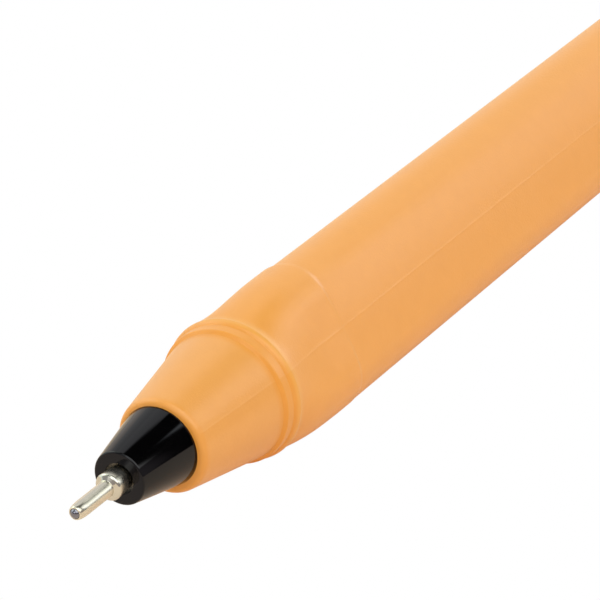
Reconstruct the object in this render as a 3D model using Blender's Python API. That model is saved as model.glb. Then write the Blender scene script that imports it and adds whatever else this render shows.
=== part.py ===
"""Needle-point stick ballpoint pen, lying on its side with the cap posted on the rear end.

The axis runs along X with the tip towards -X. A corner of the soft-triangular barrel points up,
and the flat under the cap rests on Z = 0. Lengths are in metres. In the profiles below, u is the
distance behind the front of the writing ball and r the distance from the pen's axis.
"""
import math

import bmesh
import bpy
from mathutils import Matrix

# Fits between pieces
PRESS_CLEARANCE = 0.00002
SEAT_GAP = 0.00003
BALL_CLEARANCE = 0.00002
CAP_CLEARANCE = 0.00006

# Writing ball and the turned metal needle tip that holds it
BALL_DIAMETER = 0.0007
BALL_PROTRUSION = 0.00019
LIP_WALL = 0.00003
NEEDLE_DIAMETER = 0.00104
NEEDLE_CRIMP_LENGTH = 0.00086
NEEDLE_LENGTH = 0.00331
NEEDLE_FEED_DIAMETER = 0.0004
NEEDLE_FEED_LENGTH = 0.0005
NEEDLE_BORE = 0.0006
TIP_COLLAR_DIAMETER = 0.00176
TIP_COLLAR_CHAMFER = 0.00022
TIP_COLLAR_EXPOSED = 0.00111
TIP_COLLAR_SEATED = 0.0007
TIP_BODY_DIAMETER = 0.0023
TIP_BODY_LENGTH = 0.005
TIP_BODY_BORE = 0.0012

# Tip holder, the plug that fills the barrel's mouth
HOLDER_FRONT_DIAMETER = 0.00344
HOLDER_BASE_DIAMETER = 0.0052
HOLDER_CONE_LENGTH = 0.00442
HOLDER_EDGE_ROUND = 0.0001
HOLDER_FACE_HOLE_MARGIN = 0.00012
HOLDER_SPIGOT_DIAMETER = 0.0042
HOLDER_SPIGOT_LENGTH = 0.0065
HOLDER_SPIGOT_CHAMFER = 0.0003
HOLDER_NIPPLE_LENGTH = 0.0055
HOLDER_FEED_BORE = 0.0012

# Ink tube and its filling
INK_TUBE_DIAMETER = 0.0031
INK_TUBE_BORE = 0.0021
INK_TUBE_LENGTH = 0.1
INK_FILL_SHARE = 0.75
FOLLOWER_LENGTH = 0.006

# Nose cone and cap collar of the barrel
NOSE_LENGTH = 0.0071
NOSE_FRONT_DIAMETER = 0.00607
NOSE_BASE_DIAMETER = 0.00853
NOSE_LIP_ROUND = 0.0004
COLLAR_FLANK = 0.00012
FRONT_RIB_DIAMETER = 0.00898
FRONT_RIB_WIDTH = 0.00033
GROOVE_DIAMETER = 0.00892
GROOVE_WIDTH = 0.0005
REAR_RIB_DIAMETER = 0.00936
REAR_RIB_WIDTH = 0.00045
REAR_RIB_RUNOUT = 0.0004
RIB_ROUND = 0.00012

# Neck and soft-triangular grip of the barrel
NECK_DIAMETER = 0.00912
NECK_LENGTH = 0.0063
NECK_CORNER_RADIUS = 0.00283
SHOULDER_STEP = 0.00005
SHOULDER_RUN = 0.0003
BARREL_APOTHEM = 0.00403
BARREL_REACH = 0.00525
BARREL_CORNER_RADIUS = 0.0025
BARREL_LENGTH = 0.1103
BARREL_EDGE_CHAMFER = 0.0002
BARREL_BORE = 0.006
BORE_TAPER_LENGTH = 0.002

# End plug
PLUG_FLANGE_THICKNESS = 0.0012
PLUG_EDGE_ROUND = 0.0004
PLUG_SPIGOT_LENGTH = 0.006
PLUG_VENT_DIAMETER = 0.001

# Cap with its moulded clip
CAP_WALL = 0.0009
CAP_REACH = 0.0065
CAP_RIM_CHAMFER = 0.00015
CAP_CHAMBER_DIAMETER = 0.0078
CAP_CHAMBER_LENGTH = 0.026
CAP_END_WALL = 0.0015
CAP_END_DRAFT = 0.0009
CAP_END_ROUND = 0.0008
CAP_VENT_DIAMETER = 0.0018
CLIP_ROOT_WIDTH = 0.0046
CLIP_TIP_WIDTH = 0.0036
CLIP_THICKNESS = 0.0012
CLIP_GAP = 0.0009
CLIP_LENGTH = 0.036
CLIP_ROOT_LENGTH = 0.006
CLIP_ROOT_RAMP = 0.001
CLIP_ROOT_SETBACK = 0.0005
CLIP_ROOT_EMBED = 0.0006
CLIP_BEAD_LENGTH = 0.0035
CLIP_BEAD_CLEARANCE = 0.0003
CLIP_EDGE_BEVEL = 0.0003

# Colours
ORANGE_COLOUR = (0.86, 0.41, 0.13)
BLACK_COLOUR = (0.012, 0.012, 0.013)
NICKEL_SILVER_COLOUR = (0.72, 0.67, 0.58)
CARBIDE_COLOUR = (0.3, 0.31, 0.36)
TUBE_COLOUR = (0.8, 0.8, 0.78)
INK_COLOUR = (0.01, 0.01, 0.016)
GREASE_COLOUR = (0.75, 0.68, 0.45)

# Facets round the axis and along curved stretches
BARREL_SIDES = 48
SMALL_SIDES = 24
FILLET_STEPS = 3
SOCKET_STEPS = 8
CRIMP_STEPS = 5
BALL_STEPS = 13
NECK_STEPS = 9
BEAD_STEPS = 6
NOSE_STEPS = 4
SMOOTH_ANGLE = math.radians(35)

# Stations behind the front of the ball
LIP_AT = BALL_PROTRUSION
COLLAR_FRONT_AT = LIP_AT + NEEDLE_LENGTH
COLLAR_EDGE_AT = COLLAR_FRONT_AT + TIP_COLLAR_CHAMFER
HOLDER_FACE_AT = COLLAR_EDGE_AT + TIP_COLLAR_EXPOSED
TIP_BODY_AT = HOLDER_FACE_AT + TIP_COLLAR_SEATED
TIP_END_AT = TIP_BODY_AT + TIP_BODY_LENGTH
HOLDER_BASE_AT = HOLDER_FACE_AT + HOLDER_CONE_LENGTH
SPIGOT_END_AT = HOLDER_BASE_AT + HOLDER_SPIGOT_LENGTH
NIPPLE_END_AT = SPIGOT_END_AT + HOLDER_NIPPLE_LENGTH
TUBE_FRONT_AT = SPIGOT_END_AT + SEAT_GAP
TUBE_END_AT = TUBE_FRONT_AT + INK_TUBE_LENGTH
INK_FRONT_AT = TIP_END_AT + SEAT_GAP
INK_STEP_AT = NIPPLE_END_AT + SEAT_GAP
INK_END_AT = INK_STEP_AT + INK_FILL_SHARE * INK_TUBE_LENGTH
MOUTH_AT = HOLDER_BASE_AT + SEAT_GAP
CREASE_AT = MOUTH_AT + NOSE_LENGTH
FRONT_RIB_AT = CREASE_AT + COLLAR_FLANK
GROOVE_AT = FRONT_RIB_AT + FRONT_RIB_WIDTH + GROOVE_WIDTH / 2
REAR_RIB_AT = GROOVE_AT + GROOVE_WIDTH / 2
NECK_AT = REAR_RIB_AT + REAR_RIB_WIDTH + REAR_RIB_RUNOUT
SHOULDER_AT = NECK_AT + NECK_LENGTH
BARREL_END_AT = SHOULDER_AT + BARREL_LENGTH
PLUG_FACE_AT = BARREL_END_AT + SEAT_GAP
PLUG_END_AT = PLUG_FACE_AT + PLUG_FLANGE_THICKNESS
CAP_SHELF_AT = PLUG_END_AT + SEAT_GAP
CAP_RIM_AT = CAP_SHELF_AT - SHOULDER_AT
CAP_CHAMBER_END_AT = CAP_SHELF_AT + CAP_CHAMBER_LENGTH
CAP_END_AT = CAP_CHAMBER_END_AT + CAP_END_WALL

# Cap section: it clears the rear rib on the flats and the barrel's corners
CAP_INNER_APOTHEM = REAR_RIB_DIAMETER / 2 + CAP_CLEARANCE
CAP_INNER_REACH = BARREL_REACH + CAP_CLEARANCE
CAP_INNER_CORNER_RADIUS = BARREL_CORNER_RADIUS + CAP_CLEARANCE
CAP_APOTHEM = CAP_INNER_APOTHEM + CAP_WALL
CAP_CORNER_RADIUS = 2 * CAP_APOTHEM - CAP_REACH

# The pen's place in the world
TIP_X = -CAP_END_AT / 2
AXIS_HEIGHT = CAP_APOTHEM


def soft_triangle(apothem, reach, corner_radius):
    """Polar radius of a rounded triangle, by the angle from the corner that points up.

    Its sides are arcs tangent to the corners, flat where reach is 2 * apothem - corner_radius.
    """
    third = math.radians(60)
    offset = reach - corner_radius
    bend = (2 * apothem - 2 * corner_radius - offset) / (
        offset ** 2 + apothem ** 2 - offset * apothem - corner_radius ** 2)
    lean = 1 - apothem * bend
    span = 2 * apothem - bend * apothem ** 2
    tangent = math.atan2(bend * offset * math.sin(third), bend * offset * math.cos(third) + lean)
    edge_angle = math.atan2(
        offset * math.sin(third) + corner_radius * math.sin(tangent),
        offset * math.cos(third) + corner_radius * math.cos(tangent))

    def radius(angle):
        from_side = abs(angle % (2 * third) - third)
        if from_side <= edge_angle:
            along = lean * math.cos(from_side)
            return span / (along + math.sqrt(along ** 2 + bend * span))
        from_corner = third - from_side
        across = offset * math.sin(from_corner)
        return offset * math.cos(from_corner) + math.sqrt(corner_radius ** 2 - across ** 2)

    return radius


def inset(section, amount):
    """The same section, drawn in by an amount."""
    return lambda angle: section(angle) - amount


def blended(first_radius, section, share):
    """A section part of the way from a circle to another section."""
    return lambda angle: first_radius + share * (section(angle) - first_radius)


def rounded(corners):
    """Points of a profile whose corners (u, r, fillet) are rounded where the fillet isn't zero."""
    points = []
    for index, (u, r, fillet) in enumerate(corners):
        if fillet == 0:
            points.append((u, r))
            continue
        before_u, before_r, _ = corners[index - 1]
        after_u, after_r, _ = corners[index + 1]
        before_length = math.hypot(before_u - u, before_r - r)
        after_length = math.hypot(after_u - u, after_r - r)
        before_angle = math.atan2(before_r - r, before_u - u)
        after_angle = math.atan2(after_r - r, after_u - u)
        opening = (after_angle - before_angle + math.pi) % (2 * math.pi) - math.pi
        half = abs(opening) / 2
        setback = min(fillet / math.tan(half), before_length / 2, after_length / 2)
        arc_radius = setback * math.tan(half)
        middle = before_angle + opening / 2
        centre_u = u + setback / math.cos(half) * math.cos(middle)
        centre_r = r + setback / math.cos(half) * math.sin(middle)
        sweep = math.pi - 2 * half
        for step in range(FILLET_STEPS + 1):
            turn = (0.5 - step / FILLET_STEPS) * sweep * math.copysign(1, opening)
            points.append((centre_u - arc_radius * math.cos(middle + turn),
                           centre_r - arc_radius * math.sin(middle + turn)))
    return points


def principled(name, colour, roughness, metallic=0.0):
    """A Principled material of one colour."""
    material = bpy.data.materials.new(name)
    material.use_nodes = True
    shader = material.node_tree.nodes["Principled BSDF"]
    shader.inputs["Base Color"].default_value = (*colour, 1.0)
    shader.inputs["Roughness"].default_value = roughness
    shader.inputs["Metallic"].default_value = metallic
    material.diffuse_color = (*colour, 1.0)
    return material


def place(name, mesh_data, material, origin_at, axis_empty):
    """Make a named object from a finished bmesh, with its origin on the pen's axis."""
    bmesh.ops.recalc_face_normals(mesh_data, faces=mesh_data.faces)
    mesh = bpy.data.meshes.new(name)
    mesh_data.to_mesh(mesh)
    mesh_data.free()
    mesh.shade_smooth()
    mesh.set_sharp_from_angle(angle=SMOOTH_ANGLE)
    mesh.materials.append(material)
    piece = bpy.data.objects.new(name, mesh)
    piece.parent = axis_empty
    piece.location = (origin_at, 0, 0)
    bpy.context.scene.collection.objects.link(piece)
    return piece


def skin_rings(rings, sides, origin_at, loop):
    """Skin rings (u, radius) into one closed bmesh.

    A radius is a number or a function of the angle from +Z. A ring of radius zero is a pole.
    A loop joins its last ring to its first, as on a tube.
    """
    mesh_data = bmesh.new()
    rows = []
    for u, radius in rings:
        if radius == 0:
            rows.append([mesh_data.verts.new((u - origin_at, 0, 0))])
            continue
        row = []
        for side in range(sides):
            angle = 2 * math.pi * side / sides
            r = radius(angle) if callable(radius) else radius
            row.append(mesh_data.verts.new((u - origin_at, r * math.sin(angle), r * math.cos(angle))))
        rows.append(row)
    pairs = list(zip(rows, rows[1:]))
    if loop:
        pairs.append((rows[-1], rows[0]))
    for first, second in pairs:
        for side in range(sides):
            after = (side + 1) % sides
            corners = [first[side % len(first)], first[after % len(first)],
                       second[after % len(second)], second[side % len(second)]]
            mesh_data.faces.new(list(dict.fromkeys(corners)))
    return mesh_data


def writing_ball(axis_empty):
    """The ball, with its poles on the hinge's axis across the pen."""
    radius = BALL_DIAMETER / 2
    rings = []
    for step in range(BALL_STEPS + 1):
        angle = math.pi * step / BALL_STEPS
        ring_radius = 0 if step in (0, BALL_STEPS) else radius * math.sin(angle)
        rings.append((radius - radius * math.cos(angle), ring_radius))
    mesh_data = skin_rings(rings, SMALL_SIDES, radius, loop=False)
    across = Matrix.Rotation(math.pi / 2, 3, "Z")
    bmesh.ops.rotate(mesh_data, verts=mesh_data.verts, cent=(0, 0, 0), matrix=across)
    material = principled("tungsten_carbide", CARBIDE_COLOUR, roughness=0.18, metallic=1.0)
    return place("writing_ball", mesh_data, material, radius, axis_empty)


def needle_tip(axis_empty):
    ball_radius = BALL_DIAMETER / 2
    socket_radius = ball_radius + BALL_CLEARANCE
    lip_radius = math.sqrt(socket_radius ** 2 - (ball_radius - BALL_PROTRUSION) ** 2)
    crimp_rise = NEEDLE_DIAMETER / 2 - lip_radius - LIP_WALL
    outside = []
    for step in range(CRIMP_STEPS):
        angle = math.pi / 2 * step / CRIMP_STEPS
        outside.append((LIP_AT + NEEDLE_CRIMP_LENGTH * (1 - math.cos(angle)),
                        lip_radius + LIP_WALL + crimp_rise * math.sin(angle)))
    outside += rounded([
        (LIP_AT + NEEDLE_CRIMP_LENGTH, NEEDLE_DIAMETER / 2, 0),
        (COLLAR_FRONT_AT, NEEDLE_DIAMETER / 2, 0),
        (COLLAR_EDGE_AT, TIP_COLLAR_DIAMETER / 2, TIP_COLLAR_CHAMFER / 2),
        (TIP_BODY_AT, TIP_COLLAR_DIAMETER / 2, 0),
        (TIP_BODY_AT, TIP_BODY_DIAMETER / 2, 0),
        (TIP_END_AT, TIP_BODY_DIAMETER / 2, 0),
    ])
    feed_radius = NEEDLE_FEED_DIAMETER / 2
    socket_back = math.pi - math.asin(feed_radius / socket_radius)
    socket_front = math.acos((ball_radius - BALL_PROTRUSION) / socket_radius)
    feed_at = ball_radius - socket_radius * math.cos(socket_back)
    inside = [
        (TIP_END_AT, TIP_BODY_BORE / 2),
        (TIP_BODY_AT, TIP_BODY_BORE / 2),
        (TIP_BODY_AT, NEEDLE_BORE / 2),
        (feed_at + NEEDLE_FEED_LENGTH, NEEDLE_BORE / 2),
        (feed_at + NEEDLE_FEED_LENGTH, feed_radius),
    ]
    for step in range(SOCKET_STEPS + 1):
        angle = socket_back + (socket_front - socket_back) * step / SOCKET_STEPS
        inside.append((ball_radius - socket_radius * math.cos(angle), socket_radius * math.sin(angle)))
    mesh_data = skin_rings(outside + inside, SMALL_SIDES, TIP_BODY_AT, loop=True)
    material = principled("nickel_silver", NICKEL_SILVER_COLOUR, roughness=0.22, metallic=1.0)
    return place("needle_tip", mesh_data, material, TIP_BODY_AT, axis_empty)


def tip_holder(axis_empty):
    face_hole_radius = TIP_COLLAR_DIAMETER / 2 + HOLDER_FACE_HOLE_MARGIN
    body_pocket_radius = TIP_BODY_DIAMETER / 2 + PRESS_CLEARANCE
    spigot_radius = HOLDER_SPIGOT_DIAMETER / 2
    nipple_radius = INK_TUBE_BORE / 2 - PRESS_CLEARANCE
    rings = rounded([
        (HOLDER_FACE_AT, face_hole_radius, 0),
        (HOLDER_FACE_AT, HOLDER_FRONT_DIAMETER / 2, HOLDER_EDGE_ROUND),
        (HOLDER_BASE_AT, HOLDER_BASE_DIAMETER / 2, 0),
        (HOLDER_BASE_AT, spigot_radius, 0),
        (SPIGOT_END_AT - HOLDER_SPIGOT_CHAMFER, spigot_radius, 0),
        (SPIGOT_END_AT, spigot_radius - HOLDER_SPIGOT_CHAMFER, 0),
        (SPIGOT_END_AT, nipple_radius, 0),
        (NIPPLE_END_AT, nipple_radius, 0),
        (NIPPLE_END_AT, HOLDER_FEED_BORE / 2, 0),
        (TIP_END_AT + SEAT_GAP, HOLDER_FEED_BORE / 2, 0),
        (TIP_END_AT + SEAT_GAP, body_pocket_radius, 0),
        (TIP_BODY_AT - SEAT_GAP, body_pocket_radius, 0),
        (TIP_BODY_AT - SEAT_GAP, face_hole_radius, 0),
    ])
    mesh_data = skin_rings(rings, BARREL_SIDES, HOLDER_BASE_AT, loop=True)
    material = principled("black_gloss", BLACK_COLOUR, roughness=0.12)
    return place("tip_holder", mesh_data, material, HOLDER_BASE_AT, axis_empty)


def ink_tube(axis_empty):
    rings = [
        (TUBE_FRONT_AT, INK_TUBE_BORE / 2),
        (TUBE_FRONT_AT, INK_TUBE_DIAMETER / 2),
        (TUBE_END_AT, INK_TUBE_DIAMETER / 2),
        (TUBE_END_AT, INK_TUBE_BORE / 2),
    ]
    mesh_data = skin_rings(rings, BARREL_SIDES, TUBE_FRONT_AT, loop=True)
    material = principled("clear_polypropylene", TUBE_COLOUR, roughness=0.3)
    return place("ink_tube", mesh_data, material, TUBE_FRONT_AT, axis_empty)


def ink_column(axis_empty):
    feed_radius = HOLDER_FEED_BORE / 2 - PRESS_CLEARANCE
    ink_radius = INK_TUBE_BORE / 2 - PRESS_CLEARANCE
    rings = [
        (INK_FRONT_AT, 0),
        (INK_FRONT_AT, feed_radius),
        (INK_STEP_AT, feed_radius),
        (INK_STEP_AT, ink_radius),
        (INK_END_AT, ink_radius),
        (INK_END_AT, 0),
    ]
    mesh_data = skin_rings(rings, BARREL_SIDES, INK_FRONT_AT, loop=False)
    material = principled("black_ink", INK_COLOUR, roughness=0.2)
    return place("ink_column", mesh_data, material, INK_FRONT_AT, axis_empty)


def ink_follower(axis_empty):
    front_at = INK_END_AT + SEAT_GAP
    end_at = front_at + FOLLOWER_LENGTH
    follower_radius = INK_TUBE_BORE / 2 - PRESS_CLEARANCE
    rings = [(front_at, 0), (front_at, follower_radius), (end_at, follower_radius), (end_at, 0)]
    mesh_data = skin_rings(rings, BARREL_SIDES, front_at, loop=False)
    material = principled("follower_grease", GREASE_COLOUR, roughness=0.25)
    return place("ink_follower", mesh_data, material, front_at, axis_empty)


def barrel(axis_empty):
    mouth_radius = HOLDER_SPIGOT_DIAMETER / 2 + PRESS_CLEARANCE
    bore_radius = BARREL_BORE / 2
    neck_radius = NECK_DIAMETER / 2
    grip = soft_triangle(BARREL_APOTHEM, BARREL_REACH, BARREL_CORNER_RADIUS)
    neck_end = soft_triangle(BARREL_APOTHEM + SHOULDER_STEP, BARREL_REACH, NECK_CORNER_RADIUS)
    rings = rounded([
        (MOUTH_AT, mouth_radius, 0),
        (MOUTH_AT, NOSE_FRONT_DIAMETER / 2, NOSE_LIP_ROUND),
        (CREASE_AT, NOSE_BASE_DIAMETER / 2, 0),
        (FRONT_RIB_AT, FRONT_RIB_DIAMETER / 2, RIB_ROUND),
        (FRONT_RIB_AT + FRONT_RIB_WIDTH, FRONT_RIB_DIAMETER / 2, RIB_ROUND),
        (GROOVE_AT, GROOVE_DIAMETER / 2, RIB_ROUND),
        (REAR_RIB_AT, REAR_RIB_DIAMETER / 2, RIB_ROUND),
        (REAR_RIB_AT + REAR_RIB_WIDTH, REAR_RIB_DIAMETER / 2, RIB_ROUND),
        (NECK_AT, neck_radius, 0),
    ])
    for step in range(1, NECK_STEPS + 1):
        along = step / NECK_STEPS
        share = 1 - (1 - along) ** 3
        rings.append((NECK_AT + along * NECK_LENGTH, blended(neck_radius, neck_end, share)))
    rings += [
        (SHOULDER_AT + SHOULDER_RUN, grip),
        (BARREL_END_AT - BARREL_EDGE_CHAMFER, grip),
        (BARREL_END_AT, inset(grip, BARREL_EDGE_CHAMFER)),
        (BARREL_END_AT, bore_radius),
        (SPIGOT_END_AT + BORE_TAPER_LENGTH, bore_radius),
        (SPIGOT_END_AT, mouth_radius),
    ]
    mesh_data = skin_rings(rings, BARREL_SIDES, SHOULDER_AT, loop=True)
    material = principled("orange_satin", ORANGE_COLOUR, roughness=0.45)
    return place("barrel", mesh_data, material, SHOULDER_AT, axis_empty)


def end_plug(axis_empty):
    vent_radius = PLUG_VENT_DIAMETER / 2
    spigot_radius = BARREL_BORE / 2 - PRESS_CLEARANCE
    flange = soft_triangle(BARREL_APOTHEM, BARREL_REACH, BARREL_CORNER_RADIUS)
    spigot_end_at = PLUG_FACE_AT - PLUG_SPIGOT_LENGTH
    rings = [
        (spigot_end_at, vent_radius),
        (spigot_end_at, spigot_radius),
        (PLUG_FACE_AT, spigot_radius),
        (PLUG_FACE_AT, flange),
    ]
    for step in range(FILLET_STEPS + 1):
        angle = math.pi / 2 * step / FILLET_STEPS
        u = PLUG_END_AT - PLUG_EDGE_ROUND * (1 - math.sin(angle))
        rings.append((u, inset(flange, PLUG_EDGE_ROUND * (1 - math.cos(angle)))))
    rings.append((PLUG_END_AT, vent_radius))
    mesh_data = skin_rings(rings, BARREL_SIDES, PLUG_FACE_AT, loop=True)
    material = principled("black_gloss_plug", BLACK_COLOUR, roughness=0.15)
    return place("end_plug", mesh_data, material, PLUG_FACE_AT, axis_empty)


def clip_section(u, half_width, bottom, top):
    """One cross-section of the clip: a flat bottom and two bevelled top edges."""
    bevel = min(CLIP_EDGE_BEVEL, half_width / 2)
    outline = [
        (-half_width, bottom),
        (half_width, bottom),
        (half_width, top - bevel),
        (half_width - bevel, top),
        (bevel - half_width, top),
        (-half_width, top - bevel),
    ]
    return [(u - CAP_RIM_AT, y, z) for y, z in outline]


def clip_shape(axis_empty, material):
    """The clip's solid, which is fused to the cap: a root block, a tapering arm and a bead."""
    root_end_at = CAP_END_AT - CAP_END_ROUND - CLIP_ROOT_SETBACK
    root_front_at = root_end_at - CLIP_ROOT_LENGTH
    nose_at = root_end_at - CLIP_LENGTH
    nose_round = CLIP_TIP_WIDTH / 2
    arm_bottom = CAP_REACH + CLIP_GAP
    arm_top = arm_bottom + CLIP_THICKNESS
    root_bottom = CAP_REACH - CAP_END_DRAFT - CLIP_ROOT_EMBED
    bead_depth = CLIP_GAP - CLIP_BEAD_CLEARANCE
    bead_at = nose_at + nose_round
    sections = []
    for step in range(1, NOSE_STEPS):
        angle = math.pi / 2 * step / NOSE_STEPS
        u = nose_at + nose_round * (1 - math.cos(angle))
        sections.append(clip_section(u, nose_round * math.sin(angle), arm_bottom, arm_top))
    for step in range(BEAD_STEPS + 1):
        share = step / BEAD_STEPS
        drop = bead_depth * math.sin(math.pi * share)
        sections.append(clip_section(bead_at + share * CLIP_BEAD_LENGTH, nose_round,
                                     arm_bottom - drop, arm_top))
    root_half_width = CLIP_ROOT_WIDTH / 2
    sections += [
        clip_section(root_front_at, root_half_width, arm_bottom, arm_top),
        clip_section(root_front_at + CLIP_ROOT_RAMP, root_half_width, root_bottom, arm_top),
        clip_section(root_end_at - CLIP_THICKNESS, root_half_width, root_bottom, arm_top),
        clip_section(root_end_at, root_half_width, root_bottom, arm_top - CLIP_THICKNESS),
    ]
    mesh_data = bmesh.new()
    rows = [[mesh_data.verts.new(point) for point in section] for section in sections]
    for first, second in zip(rows, rows[1:]):
        for side in range(len(first)):
            after = (side + 1) % len(first)
            mesh_data.faces.new([first[side], first[after], second[after], second[side]])
    mesh_data.faces.new(rows[0])
    mesh_data.faces.new(rows[-1])
    tool = place("clip_shape", mesh_data, material, CAP_RIM_AT, axis_empty)
    tool.hide_render = True
    tool.display_type = "WIRE"
    return tool


def cap(axis_empty):
    outer = soft_triangle(CAP_APOTHEM, CAP_REACH, CAP_CORNER_RADIUS)
    inner = soft_triangle(CAP_INNER_APOTHEM, CAP_INNER_REACH, CAP_INNER_CORNER_RADIUS)
    chamber_radius = CAP_CHAMBER_DIAMETER / 2
    vent_radius = CAP_VENT_DIAMETER / 2
    rings = [
        (CAP_RIM_AT, inner),
        (CAP_RIM_AT, inset(outer, CAP_RIM_CHAMFER)),
        (CAP_RIM_AT + CAP_RIM_CHAMFER, outer),
        (CAP_SHELF_AT, outer),
    ]
    for step in range(FILLET_STEPS + 1):
        angle = math.pi / 2 * step / FILLET_STEPS
        u = CAP_END_AT - CAP_END_ROUND * (1 - math.sin(angle))
        rings.append((u, inset(outer, CAP_END_DRAFT + CAP_END_ROUND * (1 - math.cos(angle)))))
    rings += [
        (CAP_END_AT, vent_radius),
        (CAP_CHAMBER_END_AT, vent_radius),
        (CAP_CHAMBER_END_AT, chamber_radius),
        (CAP_SHELF_AT, chamber_radius),
        (CAP_SHELF_AT, inner),
    ]
    mesh_data = skin_rings(rings, BARREL_SIDES, CAP_RIM_AT, loop=True)
    material = principled("black_gloss_cap", BLACK_COLOUR, roughness=0.18)
    piece = place("cap", mesh_data, material, CAP_RIM_AT, axis_empty)
    union = piece.modifiers.new("clip", "BOOLEAN")
    union.operation = "UNION"
    union.solver = "EXACT"
    union.object = clip_shape(axis_empty, material)
    return piece


def main():
    for old in list(bpy.data.objects):
        bpy.data.objects.remove(old)
    axis_empty = bpy.data.objects.new("pen_axis", None)
    axis_empty.location = (TIP_X, 0, AXIS_HEIGHT)
    bpy.context.scene.collection.objects.link(axis_empty)
    writing_ball(axis_empty)
    needle_tip(axis_empty)
    tip_holder(axis_empty)
    ink_tube(axis_empty)
    ink_column(axis_empty)
    ink_follower(axis_empty)
    barrel(axis_empty)
    end_plug(axis_empty)
    cap(axis_empty)


main()
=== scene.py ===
"""Looks of the needle-point stick pen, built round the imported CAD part.

Lengths are in millimetres until a mesh is made. In the profiles below, u is the distance behind
the front of the writing ball, r the distance from the pen's axis, and an angle is measured round
the axis from straight up towards +Y.
"""
import math

import bmesh
import bpy
from mathutils import Matrix, Vector

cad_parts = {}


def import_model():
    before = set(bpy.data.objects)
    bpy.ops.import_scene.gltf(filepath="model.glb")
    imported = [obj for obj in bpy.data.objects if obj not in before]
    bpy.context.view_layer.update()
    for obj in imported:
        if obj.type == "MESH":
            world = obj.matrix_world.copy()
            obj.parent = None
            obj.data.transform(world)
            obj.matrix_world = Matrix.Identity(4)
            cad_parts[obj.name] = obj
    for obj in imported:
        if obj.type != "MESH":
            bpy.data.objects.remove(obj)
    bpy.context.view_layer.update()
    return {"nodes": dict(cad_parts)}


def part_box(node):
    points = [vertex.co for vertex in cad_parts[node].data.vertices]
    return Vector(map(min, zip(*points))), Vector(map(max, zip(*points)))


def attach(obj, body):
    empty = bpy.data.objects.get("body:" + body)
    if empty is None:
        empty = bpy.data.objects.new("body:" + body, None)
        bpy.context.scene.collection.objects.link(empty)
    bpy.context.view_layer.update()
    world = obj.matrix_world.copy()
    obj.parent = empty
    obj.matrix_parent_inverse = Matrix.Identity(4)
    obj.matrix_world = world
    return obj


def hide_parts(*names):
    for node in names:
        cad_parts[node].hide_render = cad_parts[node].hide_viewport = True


MM = 0.001

# Writing ball and needle tip
BALL_RADIUS = 0.35
BALL_PROTRUSION = 0.19
BALL_CLEARANCE = 0.02
LIP_WALL = 0.03
CRIMP_LENGTH = 0.86
NEEDLE_RADIUS = 0.52
COLLAR_FRONT_AT = 3.5
COLLAR_FOOT_ROUND = 0.04
COLLAR_EDGE_AT = 3.65
COLLAR_RADIUS = 0.88
COLLAR_REAR_RADIUS = 0.77
COLLAR_EDGE_ROUND = 0.18
TIP_BODY_AT = 5.53
TIP_BODY_RADIUS = 1.15
TIP_END_AT = 10.53
NEEDLE_FEED_RADIUS = 0.2
NEEDLE_FEED_END_AT = 1.35

# Tip holder
HOLDER_FACE_AT = 4.83
HOLDER_FRONT_RADIUS = 1.72
HOLDER_BASE_AT = 9.28
HOLDER_BASE_RADIUS = 2.6
HOLDER_HOLE_RADIUS = 1.0
HOLDER_EDGE_ROUND = 0.14
HOLDER_SPIGOT_RADIUS = 2.1
SPIGOT_END_AT = 15.75
NIPPLE_RADIUS = 1.03
NIPPLE_END_AT = 21.25
FEED_RADIUS = 0.6
TIP_POCKET_RADIUS = 1.17
SEAT_GAP = 0.03
FACE_DEPTH = 0.01

# Barrel. The rear rib's rise is corners (u, r, fillet).
MOUTH_AT = 9.28
MOUTH_RADIUS = 2.12
NOSE_FRONT_RADIUS = 3.035
NOSE_LIP_ROUND = 0.4
CREASE_AT = 16.33
NOSE_BASE_RADIUS = 4.24
CREASE_ROUND = 0.08
FRONT_RIB_AT = 16.48
FRONT_RIB_RADIUS = 4.47
REAR_RIB_FOOT_AT = 17.14
REAR_RIB_FOOT_RADIUS = 4.485
REAR_RIB_RISE = ((17.22, 4.575, 0.25), (17.36, 4.655, 0.6), (17.56, 4.705, 0.3))
FOOT_ROUND = 0.06
RIB_ROUND = 0.12
NECK_AT = 17.94
NECK_RADIUS = 4.61
NECK_END_APOTHEM = 4.075
NECK_END_REACH = 5.285
NECK_CORNER_RADIUS = 2.83
SHOULDER_AT = 24.48
SHOULDER_RUN = 0.55
GRIP_APOTHEM = 4.03
GRIP_REACH = 5.25
GRIP_CORNER_RADIUS = 2.5
BARREL_END_AT = 134.78
BARREL_EDGE = 0.2
BORE_RADIUS = 3.0
BORE_TAPER = 2.0

# The nose's run-out
NOSE_DRIFT = 0.1
NOSE_DRIFT_ANGLE = math.radians(-134.6)
NOSE_DRIFT_FADES_AT = 18.6
NOSE_DRIFT_ENDS_AT = 22.6

# The barrel's mould lines. Their turns and heights are stops (u, value).
SEAM_ANGLES = (math.radians(-60), math.radians(120))
SEAM_TURNS = ((18.0, math.radians(0.6)), (22.0, math.radians(-1.5)), (24.8, math.radians(-2.3)))
SEAM_HEIGHTS = ((16.4, 0.009), (20.5, 0.011), (22.6, 0.018), (23.6, 0.014), (25.0, 0.009))
SEAM_WIDTH = 0.07

# End plug
PLUG_FACE_AT = 134.81
PLUG_END_AT = 136.01
PLUG_EDGE_ROUND = 0.4
PLUG_SPIGOT_LENGTH = 6.0
PLUG_SPIGOT_RADIUS = 2.98
PLUG_VENT_RADIUS = 0.5

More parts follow.
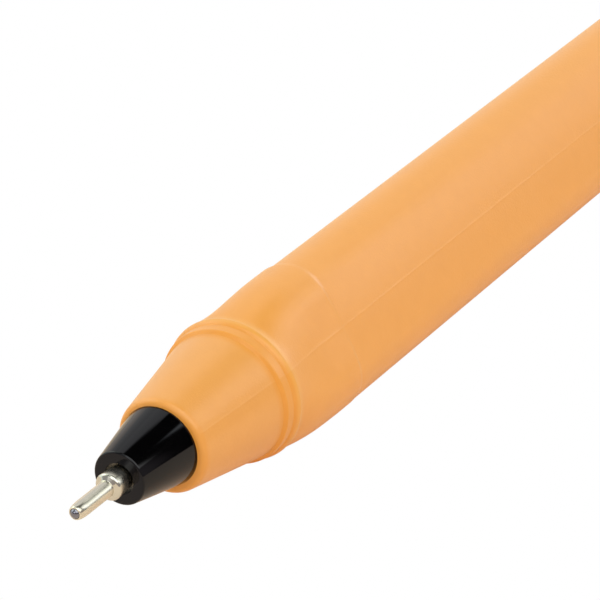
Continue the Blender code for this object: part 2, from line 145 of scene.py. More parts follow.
# Cap and clip
CAP_RIM_AT = 111.56
CAP_SHELF_AT = 136.04
CAP_CHAMBER_END_AT = 162.04
CAP_END_AT = 163.54
CAP_APOTHEM = 5.64
CAP_REACH = 6.5
CAP_CORNER_RADIUS = 4.78
CAP_INNER_APOTHEM = 4.74
CAP_INNER_REACH = 5.31
CAP_INNER_CORNER_RADIUS = 2.56
CAP_RIM_ROUND = 0.15
CAP_CHAMBER_RADIUS = 3.9
CAP_END_DRAFT = 0.9
CAP_END_ROUND = 0.8
CAP_VENT_RADIUS = 0.9
CLIP_TIP_HALF_WIDTH = 1.8
CLIP_ROOT_HALF_WIDTH = 2.3
CLIP_THICKNESS = 1.2
CLIP_GAP = 0.9
CLIP_NOSE_AT = 126.24
CLIP_ROOT_AT = 156.24
CLIP_END_AT = 162.24
CLIP_ROOT_RAMP = 1.0
CLIP_ROOT_BOTTOM = 5.0
CLIP_BEAD_DEPTH = 0.6
CLIP_BEAD_LENGTH = 3.5
CLIP_EDGE_ROUND = 0.35

# Surfaces. Tones are light and dark, roughness runs from and to, and a grain is the noise's scale
# and the bump's strength and distance.
TONE_DARK_AT = 0.3
TONE_LIGHT_AT = 0.7
MOTTLE_DETAIL = 4.0
GRAIN_DETAIL = 3.0
PLASTIC_MOTTLE = 900
METAL_MOTTLE = 3000
BALL_MOTTLE = 6000
SATIN_ROUGH = (0.28, 0.33)
SATIN_SPECULAR = 0.83
SATIN_GRAIN = (7000, 0.5, 0.00003)
BLACK_TONES = ((0.0012, 0.0011, 0.0014), (0.0008, 0.0007, 0.0009))
BLACK_ROUGH = (0.06, 0.09)
CONE_TINT = (0.88, 0.88, 0.98, 1.0)
FACE_TINT = (0.78, 0.80, 1.0, 1.0)

# Tones of the barrel that change along the pen: painted shade and a painted highlight. The stops
# are (u, share of this tone).
# Painted shade: a darker, deeper orange with less shine at the lip, in the crease at the nose's
# base, over the front rib and on the rear rib's front face.
PAINTED_SHADE = (
    (9.28, 0.6), (9.45, 0.4), (9.9, 0.0),
    (15.8, 0.0), (16.32, 0.6), (16.44, 0.6), (16.64, 0.2),
    (16.98, 0.2), (17.14, 0.45), (17.24, 0.45), (17.5, 0.15), (18.1, 0.0),
)
PAINTED_SHADE_TONE = (0.80, 0.325, 0.052)
PAINTED_SHADE_SHINE = 0.15
# Painted highlight: a lighter, yellower orange on the rear rib's crest.
CREST_PAINTED_HIGHLIGHT = ((17.26, 0.0), (17.46, 0.5), (17.74, 0.5), (18.2, 0.0))
CREST_HIGHLIGHT_TONE = (0.83, 0.40, 0.075)

# Mesh density. Near a mould line the sides are closer together, by an angle in degrees.
BARREL_SIDES = 180
SMALL_SIDES = 96
BALL_SIDES = 48
SEAM_SIDE_ANGLE = 0.3
SEAM_SIDES = 12
FILLET_STEPS = 6
SHARP_ANGLE = math.radians(35)

# Camera, solved from the photograph. Its place is in metres.
CAMERA_AT = (-0.23072, -0.10219, 0.11164)
CAMERA_RIGHT = (0.5052, -0.8630, 0.0)
CAMERA_FORWARD = (0.7682, 0.4497, -0.4556)
CAMERA_LENS = 219.8
CAMERA_SENSOR = 36.0
CAMERA_CLIP_START = 0.01

# Studio, fitted to the photograph's shading: soft panels of the sky (azimuth from and to, elevation
# from and to, colour) in degrees, and a floor in metres
SKY_PANELS = (
    (8, 68, 0, 22, (1.00, 0.91, 0.83)),
    (8, 68, 22, 44, (0.78, 0.79, 0.78)),
    (8, 68, 44, 64, (0.93, 0.94, 0.92)),
    (68, 128, 0, 22, (1.25, 1.36, 1.28)),
    (68, 128, 22, 44, (2.26, 2.36, 2.08)),
    (68, 128, 44, 64, (1.18, 1.31, 1.12)),
    (-54, -30, 0, 11, (0.50, 0.50, 0.50)),
    (-54, -30, 11, 24, (1.70, 1.82, 1.84)),
    (-30, -18, 4, 24, (0.50, 0.48, 0.42)),
    (-54, -42, 24, 36, (2.81, 2.84, 2.83)),
    (-42, -18, 24, 36, (0.94, 1.00, 0.92)),
    (-54, -30, 36, 50, (1.41, 1.49, 1.46)),
    (-18, 8, 0, 24, (1.95, 1.85, 1.78)),
    (-18, 8, 24, 50, (0.94, 0.96, 0.90)),
    (-100, -68, 0, 30, (0.40, 0.36, 0.36)),
    (-145, -68, 30, 64, (2.42, 2.43, 2.20)),
    (-190, -100, 0, 30, (0.40, 0.36, 0.34)),
    (-190, -145, 30, 64, (1.60, 1.65, 1.50)),
    (154, 184, 15, 40, (1.50, 1.50, 1.45)),
    (128, 154, 0, 40, (0.40, 0.40, 0.40)),
    (120, 300, 64, 116, (2.25, 2.38, 2.20)),
)
PANEL_EDGE = 2.5
FLOOR_LIGHT = (0.91, 0.76, 0.64)
FLOOR_DARK = (0.89, 0.74, 0.62)
FLOOR_MOTTLE = 6
FLOOR_DETAIL = 2.0
FLOOR_ROUGH = 0.9
FLOOR_HALF_WIDTH = 4.0
FLOOR_GAP = 0.00005

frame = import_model()
ball_low, ball_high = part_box("writing_ball")
TIP_X = (ball_low.x + ball_high.x) / 2 - BALL_RADIUS * MM
AXIS_Z = (ball_low.z + ball_high.z) / 2


def soft_triangle(apothem, reach, corner_radius):
    """Polar radius of a rounded triangle with one corner up, its sides tangent to the corners."""
    sixth = math.radians(60)
    offset = reach - corner_radius
    bend = (2 * apothem - 2 * corner_radius - offset) / (
        offset ** 2 + apothem ** 2 - offset * apothem - corner_radius ** 2)
    lean = 1 - apothem * bend
    span = 2 * apothem - bend * apothem ** 2
    tangent = math.atan2(bend * offset * math.sin(sixth), bend * offset * math.cos(sixth) + lean)
    edge_angle = math.atan2(
        offset * math.sin(sixth) + corner_radius * math.sin(tangent),
        offset * math.cos(sixth) + corner_radius * math.cos(tangent))

    def radius(angle):
        from_side = abs(angle % (2 * sixth) - sixth)
        if from_side <= edge_angle:
            along = lean * math.cos(from_side)
            return span / (along + math.sqrt(along ** 2 + bend * span))
        from_corner = sixth - from_side
        across = offset * math.sin(from_corner)
        return offset * math.cos(from_corner) + math.sqrt(corner_radius ** 2 - across ** 2)

    return radius


def circle(radius):
    return lambda angle: radius


def inset(section, amount):
    return lambda angle: section(angle) - amount


def blended(first, second, share):
    return lambda angle: first(angle) + share * (second(angle) - first(angle))


def seamed(section, angles, height, width):
    """A section with a fine raised mould line at each of the angles."""
    def radius(angle):
        base = section(angle)
        lift = 0.0
        for seam in angles:
            away = (angle - seam + math.pi) % (2 * math.pi) - math.pi
            lift += height * math.exp(-((away * base / width) ** 2))
        return base + lift
    return radius


def rounded(corners):
    """Points of a profile whose corners (u, r, fillet) are rounded where the fillet isn't zero."""
    points = []
    for index, (u, r, fillet) in enumerate(corners):
        if fillet == 0:
            points.append((u, r))
            continue
        before_u, before_r, _ = corners[index - 1]
        after_u, after_r, _ = corners[index + 1]
        before_length = math.hypot(before_u - u, before_r - r)
        after_length = math.hypot(after_u - u, after_r - r)
        before_angle = math.atan2(before_r - r, before_u - u)
        after_angle = math.atan2(after_r - r, after_u - u)
        opening = (after_angle - before_angle + math.pi) % (2 * math.pi) - math.pi
        half = abs(opening) / 2
        setback = min(fillet / math.tan(half), before_length / 2, after_length / 2)
        arc_radius = setback * math.tan(half)
        middle = before_angle + opening / 2
        centre_u = u + setback / math.cos(half) * math.cos(middle)
        centre_r = r + setback / math.cos(half) * math.sin(middle)
        sweep = math.pi - 2 * half
        for step in range(FILLET_STEPS + 1):
            turn = (0.5 - step / FILLET_STEPS) * sweep * math.copysign(1, opening)
            points.append((centre_u - arc_radius * math.cos(middle + turn),
                           centre_r - arc_radius * math.sin(middle + turn)))
    return points


def quarter_turn(steps):
    """Angles from zero to a right angle."""
    return [math.pi / 2 * step / steps for step in range(steps + 1)]


def ring_angles(sides, seams=()):
    """Angles round the axis, closer together near a mould line."""
    angles = {round(360 * side / sides, 4) for side in range(sides)}
    for seam in seams:
        middle = math.degrees(seam)
        for step in range(-SEAM_SIDES, SEAM_SIDES + 1):
            angles.add(round((middle + SEAM_SIDE_ANGLE * step) % 360, 4))
    return [math.radians(angle) for angle in sorted(angles)]


def to_world(u, y, z):
    return (TIP_X + u * MM, y * MM, AXIS_Z + z * MM)


def new_object(name, data):
    thing = bpy.data.objects.new(name, data)
    bpy.context.scene.collection.objects.link(thing)
    return thing


def new_piece(name, mesh_data, body, slot, *materials):
    """Link a finished bmesh as a smooth-shaded piece that rides on a CAD body."""
    bmesh.ops.recalc_face_normals(mesh_data, faces=mesh_data.faces)
    mesh = bpy.data.meshes.new(name)
    mesh_data.to_mesh(mesh)
    mesh_data.free()
    mesh.shade_smooth()
    mesh.set_sharp_from_angle(angle=SHARP_ANGLE)
    for material in materials:
        mesh.materials.append(material)
    piece = new_object(name, mesh)
    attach(piece, body)
    return piece


def centred(u):
    return 0.0, 0.0


def nose_drift(u):
    """The nose's run-out: its moulding lies a little off the axis in front of the grip."""
    share = (NOSE_DRIFT_ENDS_AT - u) / (NOSE_DRIFT_ENDS_AT - NOSE_DRIFT_FADES_AT)
    share = min(max(share, 0.0), 1.0)
    amount = NOSE_DRIFT * share * share * (3 - 2 * share)
    return amount * math.sin(NOSE_DRIFT_ANGLE), amount * math.cos(NOSE_DRIFT_ANGLE)


def between(stops, u):
    """Value at u on a line through the stops (u, value), level outside them."""
    for (from_u, from_value), (to_u, to_value) in zip(stops, stops[1:]):
        if u < to_u:
            share = max((u - from_u) / (to_u - from_u), 0.0)
            return from_value + share * (to_value - from_value)
    return stops[-1][1]


def barrel_seams(u, section):
    """A section with the barrel's mould lines, which turn and grow a little from nose to grip."""
    angles = [seam + between(SEAM_TURNS, u) for seam in SEAM_ANGLES]
    return seamed(section, angles, between(SEAM_HEIGHTS, u), SEAM_WIDTH)


def bridge(mesh_data, first, second):
    """Join two rows of vertices by a belt of faces. A row of one vertex is a pole."""
    count = max(len(first), len(second))
    for side in range(count):
        after = (side + 1) % count
        corners = [first[side % len(first)], first[after % len(first)],
                   second[after % len(second)], second[side % len(second)]]
        mesh_data.faces.new(list(dict.fromkeys(corners)))


def skin(rings, angles, loop, drift=centred):
    """Skin rings (u, section) into one closed bmesh. A section that is None is a pole."""
    mesh_data = bmesh.new()
    rows = []
    for u, section in rings:
        if section is None:
            rows.append([mesh_data.verts.new(to_world(u, 0, 0))])
            continue
        row = []
        side_shift, up_shift = drift(u)
        for angle in angles:
            r = section(angle)
            row.append(mesh_data.verts.new(
                to_world(u, side_shift + r * math.sin(angle), up_shift + r * math.cos(angle))))
        rows.append(row)
    pairs = list(zip(rows, rows[1:]))
    if loop:
        pairs.append((rows[-1], rows[0]))
    for first, second in pairs:
        bridge(mesh_data, first, second)
    return mesh_data


def use_second_material(mesh_data, front_at, rear_at):
    """Give the faces between two distances behind the tip the piece's second material."""
    for face in mesh_data.faces:
        u = (face.calc_center_median().x - TIP_X) / MM
        if front_at < u < rear_at:
            face.material_index = 1


# Materials

def new_material(name):
    material = bpy.data.materials.new(name)
    material.use_nodes = True
    nodes = material.node_tree.nodes
    return material, nodes, material.node_tree.links, nodes["Principled BSDF"]


def noise_node(nodes, links, scale, detail):
    """Noise in object space."""
    place = nodes.new("ShaderNodeTexCoord")
    noise = nodes.new("ShaderNodeTexNoise")
    noise.inputs["Scale"].default_value = scale
    noise.inputs["Detail"].default_value = detail
    links.new(place.outputs["Object"], noise.inputs["Vector"])
    return noise


def ramp_node(nodes, links, source, stops):
    ramp = nodes.new("ShaderNodeValToRGB")
    elements = ramp.color_ramp.elements
    while len(elements) < len(stops):
        elements.new(0.5)
    for element, (position, colour) in zip(elements, stops):
        element.position = position
        element.color = (*colour, 1.0)
    links.new(source, ramp.inputs["Fac"])
    return ramp


def mottle_tones(nodes, links, noise, light, dark, shader):
    """Colour the shader with two close tones that follow the noise."""
    tones = ramp_node(nodes, links, noise.outputs["Fac"],
                      [(TONE_DARK_AT, dark), (TONE_LIGHT_AT, light)])
    links.new(tones.outputs["Color"], shader.inputs["Base Color"])


def grain(nodes, links, shader, scale, strength, distance):
    """A fine bump on the shader's normal."""
    noise = noise_node(nodes, links, scale, GRAIN_DETAIL)
    bump = nodes.new("ShaderNodeBump")
    bump.inputs["Strength"].default_value = strength
    bump.inputs["Distance"].default_value = distance
    links.new(noise.outputs["Fac"], bump.inputs["Height"])
    links.new(bump.outputs["Normal"], shader.inputs["Normal"])


def surface(name, light, dark, rough, metallic=0.0, specular=0.5, mottle=PLASTIC_MOTTLE, bump=None):
    """A moulded or turned surface: two close tones, a varying roughness and maybe a fine grain."""
    material, nodes, links, shader = new_material(name)
    noise = noise_node(nodes, links, mottle, MOTTLE_DETAIL)
    mottle_tones(nodes, links, noise, light, dark, shader)
    sheen = nodes.new("ShaderNodeMapRange")
    sheen.inputs["To Min"].default_value = rough[0]
    sheen.inputs["To Max"].default_value = rough[1]
    links.new(noise.outputs["Fac"], sheen.inputs["Value"])
    links.new(sheen.outputs["Result"], shader.inputs["Roughness"])
    shader.inputs["Metallic"].default_value = metallic
    shader.inputs["Specular IOR Level"].default_value = specular
    material.diffuse_color = (*light, 1.0)
    if bump:
        grain(nodes, links, shader, *bump)
    return material


def shade_along(material, stops, tone, shine=None):
    """Blend to another tone, and to another shine if given, along the pen."""
    nodes, links = material.node_tree.nodes, material.node_tree.links
    shader = nodes["Principled BSDF"]
    first, last = stops[0][0], stops[-1][0]
    place = nodes.new("ShaderNodeTexCoord")
    ways = nodes.new("ShaderNodeSeparateXYZ")
    along = nodes.new("ShaderNodeMapRange")
    along.inputs["From Min"].default_value = TIP_X + first * MM
    along.inputs["From Max"].default_value = TIP_X + last * MM
    links.new(place.outputs["Object"], ways.inputs["Vector"])
    links.new(ways.outputs["X"], along.inputs["Value"])
    shares = ramp_node(nodes, links, along.outputs["Result"],
                       [((u - first) / (last - first), (share,) * 3) for u, share in stops])
    shares.color_ramp.interpolation = "EASE"
    blend = nodes.new("ShaderNodeMix")
    blend.data_type = "RGBA"
    plain_tone, other_tone, blended_tone = blend.inputs[6], blend.inputs[7], blend.outputs[2]
    links.new(shares.outputs["Color"], blend.inputs["Factor"])
    links.new(shader.inputs["Base Color"].links[0].from_socket, plain_tone)
    other_tone.default_value = (*tone, 1.0)
    links.new(blended_tone, shader.inputs["Base Color"])
    if shine is None:
        return
    gloss = nodes.new("ShaderNodeMapRange")
    gloss.inputs["To Min"].default_value = shader.inputs["Specular IOR Level"].default_value
    gloss.inputs["To Max"].default_value = shine
    links.new(shares.outputs["Color"], gloss.inputs["Value"])
    links.new(gloss.outputs["Result"], shader.inputs["Specular IOR Level"])


ORANGE = surface("orange_satin", (0.822, 0.347, 0.064), (0.804, 0.336, 0.060), SATIN_ROUGH,
                 specular=SATIN_SPECULAR, bump=SATIN_GRAIN)
# Painted sheen: a paler, less saturated copy of the orange for the nose, standing in for the light
# on it.
ORANGE_NOSE_PAINTED_SHEEN = surface("orange_nose_painted_sheen", (0.802, 0.355, 0.084), (0.784, 0.343, 0.080), SATIN_ROUGH,
                      specular=SATIN_SPECULAR, bump=SATIN_GRAIN)
for plastic in (ORANGE, ORANGE_NOSE_PAINTED_SHEEN):
    # Painted shade at the lip, in the crease and on the ribs' front faces.
    shade_along(plastic, PAINTED_SHADE, PAINTED_SHADE_TONE, PAINTED_SHADE_SHINE)
    # Painted highlight on the rear rib's crest.
    shade_along(plastic, CREST_PAINTED_HIGHLIGHT, CREST_HIGHLIGHT_TONE)
BLACK = surface("black_gloss", *BLACK_TONES, BLACK_ROUGH, specular=0.35)
BLACK_FACE = surface("black_face", *BLACK_TONES, BLACK_ROUGH, specular=0.3)
for plastic, tint in ((BLACK, CONE_TINT), (BLACK_FACE, FACE_TINT)):
    plastic.node_tree.nodes["Principled BSDF"].inputs["Specular Tint"].default_value = tint
BLACK_CAP = surface("black_cap", (0.0040, 0.0038, 0.0041), (0.0028, 0.0027, 0.0029), (0.14, 0.22),
                    specular=0.4)
NICKEL = surface("nickel_silver", (0.72, 0.68, 0.59), (0.67, 0.63, 0.54), (0.23, 0.28),
                 metallic=1.0, mottle=METAL_MOTTLE)
NICKEL_BRIGHT = surface("nickel_bright", (0.64, 0.62, 0.56), (0.59, 0.57, 0.51), (0.10, 0.14),
                        metallic=1.0, mottle=METAL_MOTTLE)
CARBIDE = surface("carbide", (0.24, 0.24, 0.29), (0.20, 0.20, 0.25), (0.08, 0.12),
                  metallic=1.0, mottle=BALL_MOTTLE)
CLEAR = surface("clear_tube", (0.82, 0.82, 0.80), (0.76, 0.76, 0.74), (0.22, 0.32))
INK = surface("ink", (0.012, 0.012, 0.020), (0.008, 0.008, 0.014), (0.10, 0.20))
GREASE = surface("grease", (0.76, 0.69, 0.46), (0.68, 0.60, 0.38), (0.15, 0.30))


# Pieces

def writing_ball():
    steps = 24
    rings = []
    for step in range(steps + 1):
        angle = math.pi * step / steps
        section = None if step in (0, steps) else circle(BALL_RADIUS * math.sin(angle))
        rings.append((BALL_RADIUS - BALL_RADIUS * math.cos(angle), section))
    mesh_data = skin(rings, ring_angles(BALL_SIDES), loop=False)
    piece = new_piece("ball", mesh_data, "ball", "ball_carbide", CARBIDE)
    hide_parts("writing_ball")


def needle():
    socket_radius = BALL_RADIUS + BALL_CLEARANCE
    lip_radius = math.sqrt(socket_radius ** 2 - (BALL_RADIUS - BALL_PROTRUSION) ** 2)
    crimp_start = lip_radius + LIP_WALL
    profile = []
    crimp_steps = 12
    for angle in quarter_turn(crimp_steps)[:-1]:
        profile.append((BALL_PROTRUSION + CRIMP_LENGTH * (1 - math.cos(angle)),
                        crimp_start + (NEEDLE_RADIUS - crimp_start) * math.sin(angle)))
    profile += rounded([
        (BALL_PROTRUSION + CRIMP_LENGTH, NEEDLE_RADIUS, 0),
        (COLLAR_FRONT_AT, NEEDLE_RADIUS, COLLAR_FOOT_ROUND),
        (COLLAR_EDGE_AT, COLLAR_RADIUS, COLLAR_EDGE_ROUND),
        (TIP_BODY_AT, COLLAR_REAR_RADIUS, 0),
        (TIP_BODY_AT, TIP_BODY_RADIUS, 0),
        (TIP_END_AT, TIP_BODY_RADIUS, 0),
        (TIP_END_AT, FEED_RADIUS, 0),
        (TIP_BODY_AT, FEED_RADIUS, 0),
        (NEEDLE_FEED_END_AT, NEEDLE_FEED_RADIUS, 0),
    ])
    back_angle = math.pi - math.asin(NEEDLE_FEED_RADIUS / socket_radius)
    front_angle = math.acos((BALL_RADIUS - BALL_PROTRUSION) / socket_radius)
    socket_steps = 12
    for step in range(socket_steps + 1):
        angle = back_angle + (front_angle - back_angle) * step / socket_steps
        profile.append((BALL_RADIUS - socket_radius * math.cos(angle),
                        socket_radius * math.sin(angle)))
    rings = [(u, circle(r)) for u, r in profile]
    mesh_data = skin(rings, ring_angles(SMALL_SIDES), loop=True)
    use_second_material(mesh_data, COLLAR_FRONT_AT, COLLAR_EDGE_AT + COLLAR_EDGE_ROUND)
    piece = new_piece("needle", mesh_data, "pen", "tip_metal", NICKEL, NICKEL_BRIGHT)
    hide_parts("needle_tip")


def holder():
    profile = rounded([
        (HOLDER_FACE_AT, HOLDER_HOLE_RADIUS, 0),
        (HOLDER_FACE_AT, HOLDER_FRONT_RADIUS, HOLDER_EDGE_ROUND),
        (HOLDER_BASE_AT, HOLDER_BASE_RADIUS, 0),
        (HOLDER_BASE_AT, HOLDER_SPIGOT_RADIUS, 0),
        (SPIGOT_END_AT, HOLDER_SPIGOT_RADIUS, 0),
        (SPIGOT_END_AT, NIPPLE_RADIUS, 0),
        (NIPPLE_END_AT, NIPPLE_RADIUS, 0),
        (NIPPLE_END_AT, FEED_RADIUS, 0),
        (TIP_END_AT + SEAT_GAP, FEED_RADIUS, 0),
        (TIP_END_AT + SEAT_GAP, TIP_POCKET_RADIUS, 0),
        (TIP_BODY_AT - SEAT_GAP, TIP_POCKET_RADIUS, 0),
        (TIP_BODY_AT - SEAT_GAP, HOLDER_HOLE_RADIUS, 0),
    ])
    rings = [(u, circle(r)) for u, r in profile]
    mesh_data = skin(rings, ring_angles(SMALL_SIDES), loop=True)
    use_second_material(mesh_data, HOLDER_FACE_AT - FACE_DEPTH, HOLDER_FACE_AT + FACE_DEPTH)
    piece = new_piece("tip_cone", mesh_data, "pen", "holder_black", BLACK, BLACK_FACE)
    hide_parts("tip_holder")


def barrel():
    grip = soft_triangle(GRIP_APOTHEM, GRIP_REACH, GRIP_CORNER_RADIUS)
    neck_end = soft_triangle(NECK_END_APOTHEM, NECK_END_REACH, NECK_CORNER_RADIUS)
    profile = rounded([
        (MOUTH_AT, MOUTH_RADIUS, 0),
        (MOUTH_AT, NOSE_FRONT_RADIUS, NOSE_LIP_ROUND),
        (CREASE_AT, NOSE_BASE_RADIUS, CREASE_ROUND),
        (FRONT_RIB_AT, FRONT_RIB_RADIUS, RIB_ROUND),
        (REAR_RIB_FOOT_AT, REAR_RIB_FOOT_RADIUS, FOOT_ROUND),
        *REAR_RIB_RISE,
        (NECK_AT, NECK_RADIUS, 0),
    ])
    rings = [(u, circle(r)) for u, r in profile]
    neck_steps = 24
    for step in range(1, neck_steps + 1):
        along = step / neck_steps
        share = 1 - (1 - along) ** 3
        rings.append((NECK_AT + along * (SHOULDER_AT - NECK_AT),
                      blended(circle(NECK_RADIUS), neck_end, share)))
    shoulder_steps = 6
    for step in range(1, shoulder_steps + 1):
        share = (1 - math.cos(math.pi * step / shoulder_steps)) / 2
        rings.append((SHOULDER_AT + SHOULDER_RUN * step / shoulder_steps,
                      blended(neck_end, grip, share)))
    grip_steps = 30
    grip_length = BARREL_END_AT - BARREL_EDGE - SHOULDER_AT - SHOULDER_RUN
    for step in range(1, grip_steps + 1):
        rings.append((SHOULDER_AT + SHOULDER_RUN + grip_length * step / grip_steps, grip))
    rings.append((BARREL_END_AT, inset(grip, BARREL_EDGE)))
    first = next(index for index, (_, section) in enumerate(rings)
                 if section(0) > NOSE_FRONT_RADIUS)
    rings[first:] = [(u, barrel_seams(u, section)) for u, section in rings[first:]]
    rings += [
        (BARREL_END_AT, circle(BORE_RADIUS)),
        (SPIGOT_END_AT + BORE_TAPER, circle(BORE_RADIUS)),
        (SPIGOT_END_AT, circle(MOUTH_RADIUS)),
    ]
    angles = ring_angles(BARREL_SIDES, SEAM_ANGLES)
    mesh_data = skin(rings, angles, loop=True, drift=nose_drift)
    # The nose takes the copy of the orange with painted sheen.
    use_second_material(mesh_data, MOUTH_AT, CREASE_AT)
    piece = new_piece("barrel_shell", mesh_data, "pen", "barrel_orange", ORANGE, ORANGE_NOSE_PAINTED_SHEEN)
    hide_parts("barrel")


def rear_plug():
    flange = soft_triangle(GRIP_APOTHEM, GRIP_REACH, GRIP_CORNER_RADIUS)
    spigot_end_at = PLUG_FACE_AT - PLUG_SPIGOT_LENGTH
    rings = [
        (spigot_end_at, circle(PLUG_VENT_RADIUS)),
        (spigot_end_at, circle(PLUG_SPIGOT_RADIUS)),
        (PLUG_FACE_AT, circle(PLUG_SPIGOT_RADIUS)),
        (PLUG_FACE_AT, flange),
    ]
    for angle in quarter_turn(FILLET_STEPS):
        u = PLUG_END_AT - PLUG_EDGE_ROUND * (1 - math.sin(angle))
        rings.append((u, inset(flange, PLUG_EDGE_ROUND * (1 - math.cos(angle)))))
    rings.append((PLUG_END_AT, circle(PLUG_VENT_RADIUS)))
    mesh_data = skin(rings, ring_angles(BARREL_SIDES), loop=True)
    piece = new_piece("rear_plug", mesh_data, "pen", "plug_black", BLACK_CAP)
    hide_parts("end_plug")


def cap():
    outer = soft_triangle(CAP_APOTHEM, CAP_REACH, CAP_CORNER_RADIUS)
    inner = soft_triangle(CAP_INNER_APOTHEM, CAP_INNER_REACH, CAP_INNER_CORNER_RADIUS)
    rings = [(CAP_RIM_AT, inner)]
    for angle in quarter_turn(FILLET_STEPS):
        rings.append((CAP_RIM_AT + CAP_RIM_ROUND * (1 - math.cos(angle)),
                      inset(outer, CAP_RIM_ROUND * (1 - math.sin(angle)))))
    rings.append((CAP_SHELF_AT, outer))
    for angle in quarter_turn(FILLET_STEPS):
        u = CAP_END_AT - CAP_END_ROUND * (1 - math.sin(angle))
        rings.append((u, inset(outer, CAP_END_DRAFT + CAP_END_ROUND * (1 - math.cos(angle)))))
    rings += [
        (CAP_END_AT, circle(CAP_VENT_RADIUS)),
        (CAP_CHAMBER_END_AT, circle(CAP_VENT_RADIUS)),
        (CAP_CHAMBER_END_AT, circle(CAP_CHAMBER_RADIUS)),
        (CAP_SHELF_AT, circle(CAP_CHAMBER_RADIUS)),
        (CAP_SHELF_AT, inner),
    ]
    mesh_data = skin(rings, ring_angles(BARREL_SIDES), loop=True)
    piece = new_piece("cap_shell", mesh_data, "cap", "cap_black", BLACK_CAP)
    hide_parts("cap")


def clip_section(u, half_width, bottom, top):
    """One cross-section of the clip, with rounded top edges."""
    edge = min(CLIP_EDGE_ROUND, half_width / 2)
    rounding = [(half_width - edge * (1 - math.cos(angle)), top - edge * (1 - math.sin(angle)))
                for angle in quarter_turn(FILLET_STEPS)]
    outline = [(-half_width, bottom), (half_width, bottom), *rounding]
    outline += [(-y, z) for y, z in reversed(rounding)]
    return [to_world(u, y, z) for y, z in outline]


def clip():
    arm_bottom = CAP_REACH + CLIP_GAP
    arm_top = arm_bottom + CLIP_THICKNESS
    nose = CLIP_TIP_HALF_WIDTH
    sections = []
    nose_steps = 10
    for angle in quarter_turn(nose_steps)[1:-1]:
        sections.append(clip_section(CLIP_NOSE_AT + nose * (1 - math.cos(angle)),
                                     nose * math.sin(angle), arm_bottom, arm_top))
    bead_steps = 16
    for step in range(bead_steps + 1):
        share = step / bead_steps
        drop = CLIP_BEAD_DEPTH * math.sin(math.pi * share)
        sections.append(clip_section(CLIP_NOSE_AT + nose + share * CLIP_BEAD_LENGTH, nose,
                                     arm_bottom - drop, arm_top))
    half = CLIP_ROOT_HALF_WIDTH
    sections += [
        clip_section(CLIP_ROOT_AT, half, arm_bottom, arm_top),
        clip_section(CLIP_ROOT_AT + CLIP_ROOT_RAMP, half, CLIP_ROOT_BOTTOM, arm_top),
    ]
    end_steps = 8
    for angle in quarter_turn(end_steps):
        u = CLIP_END_AT - CLIP_THICKNESS * (1 - math.sin(angle))
        top = arm_top - CLIP_THICKNESS * (1 - math.cos(angle))
        sections.append(clip_section(u, half, CLIP_ROOT_BOTTOM, top))
    mesh_data = bmesh.new()
    rows = [[mesh_data.verts.new(point) for point in section] for section in sections]
    for first, second in zip(rows, rows[1:]):
        bridge(mesh_data, first, second)
    mesh_data.faces.new(rows[0])
    mesh_data.faces.new(rows[-1])
    new_piece("cap_clip", mesh_data, "cap", "cap_black", BLACK_CAP)


writing_ball()
needle()
holder()
barrel()
rear_plug()
cap()
clip()

for node, material in (("ink_tube", CLEAR), ("ink_column", INK), ("ink_follower", GREASE)):
    cad_mesh = frame["nodes"][node].data
    cad_mesh.materials.clear()
    cad_mesh.materials.append(material)


# Studio

def white_to_camera(nodes, links, other_shader, output):
    """Show plain white behind the pen, and keep the other shader for the light it gives."""
    path = nodes.new("ShaderNodeLightPath")
    white = nodes.new("ShaderNodeEmission")
    mix = nodes.new("ShaderNodeMixShader")
    links.new(path.outputs["Is Camera Ray"], mix.inputs["Fac"])
    links.new(other_shader, mix.inputs[1])
    links.new(white.outputs["Emission"], mix.inputs[2])
    links.new(mix.outputs["Shader"], output.inputs["Surface"])


def floor():
    mesh = bpy.data.meshes.new("floor")
    reach, low = FLOOR_HALF_WIDTH, -FLOOR_GAP
    corners = [(-reach, -reach, low), (reach, -reach, low),
               (reach, reach, low), (-reach, reach, low)]
    mesh.from_pydata(corners, [], [(0, 1, 2, 3)])
    material, nodes, links, shader = new_material("floor_white")
    noise = noise_node(nodes, links, FLOOR_MOTTLE, FLOOR_DETAIL)
    mottle_tones(nodes, links, noise, FLOOR_LIGHT, FLOOR_DARK, shader)
    shader.inputs["Roughness"].default_value = FLOOR_ROUGH
    shader.inputs["Specular IOR Level"].default_value = 0.0
    white_to_camera(nodes, links, shader.outputs["BSDF"], nodes["Material Output"])
    mesh.materials.append(material)
    ground = new_object("floor", mesh)


def math_node(nodes, links, operation, *values):
    """A math node whose inputs are sockets or plain numbers."""
    node = nodes.new("ShaderNodeMath")
    node.operation = operation
    for place, value in zip(node.inputs, values):
        if isinstance(value, float):
            place.default_value = value
        else:
            links.new(value, place)
    return node.outputs["Value"]


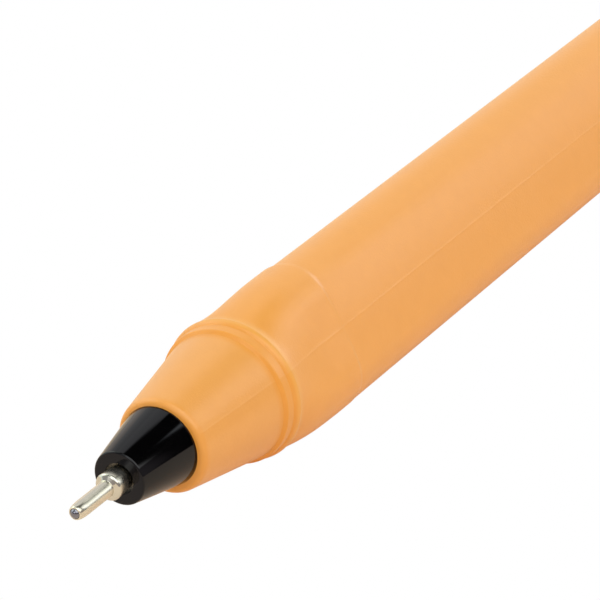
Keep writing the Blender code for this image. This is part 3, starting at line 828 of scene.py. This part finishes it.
def panel_fade(nodes, links, away, half_width):
    """One within half_width degrees of a panel's middle, fading to nothing over its edge."""
    fade = nodes.new("ShaderNodeMapRange")
    fade.interpolation_type = "SMOOTHSTEP"
    fade.inputs["From Min"].default_value = math.radians(half_width + PANEL_EDGE)
    fade.inputs["From Max"].default_value = math.radians(half_width - PANEL_EDGE)
    links.new(math_node(nodes, links, "ABSOLUTE", away), fade.inputs["Value"])
    return fade.outputs["Result"]


def world():
    """A studio of soft light panels round the pen."""
    dome = bpy.data.worlds.new("studio")
    bpy.context.scene.world = dome
    dome.use_nodes = True
    nodes, links = dome.node_tree.nodes, dome.node_tree.links
    place = nodes.new("ShaderNodeTexCoord")
    ways = nodes.new("ShaderNodeSeparateXYZ")
    links.new(place.outputs["Generated"], ways.inputs["Vector"])
    azimuth = math_node(nodes, links, "ARCTAN2", ways.outputs["Y"], ways.outputs["X"])
    elevation = math_node(nodes, links, "ARCSINE", ways.outputs["Z"])
    total = None
    for az_from, az_to, el_from, el_to, colour in SKY_PANELS:
        turn = math_node(nodes, links, "SUBTRACT", azimuth, math.radians((az_from + az_to) / 2))
        turn = math_node(nodes, links, "WRAP", turn, math.pi, -math.pi)
        rise = math_node(nodes, links, "SUBTRACT", elevation, math.radians((el_from + el_to) / 2))
        share = math_node(nodes, links, "MULTIPLY",
                          panel_fade(nodes, links, turn, (az_to - az_from) / 2),
                          panel_fade(nodes, links, rise, (el_to - el_from) / 2))
        tint = nodes.new("ShaderNodeVectorMath")
        tint.operation = "MULTIPLY_ADD"
        tint.inputs[1].default_value = colour
        links.new(share, tint.inputs[0])
        if total:
            links.new(total.outputs["Vector"], tint.inputs[2])
        total = tint
    background = nodes["Background"]
    links.new(total.outputs["Vector"], background.inputs["Color"])
    white_to_camera(nodes, links, background.outputs["Background"], nodes["World Output"])


def camera():
    right, forward = Vector(CAMERA_RIGHT).normalized(), Vector(CAMERA_FORWARD).normalized()
    up = right.cross(forward).normalized()
    data = bpy.data.cameras.new("camera")
    data.sensor_width = CAMERA_SENSOR
    data.lens = CAMERA_LENS
    data.clip_start = CAMERA_CLIP_START
    eye = new_object("camera", data)
    turn = Matrix((right, up, -forward)).transposed()
    eye.matrix_world = Matrix.Translation(CAMERA_AT) @ turn.to_4x4()
    bpy.context.scene.camera = eye


floor()
world()
camera()
bpy.context.scene.view_settings.view_transform = "Standard"
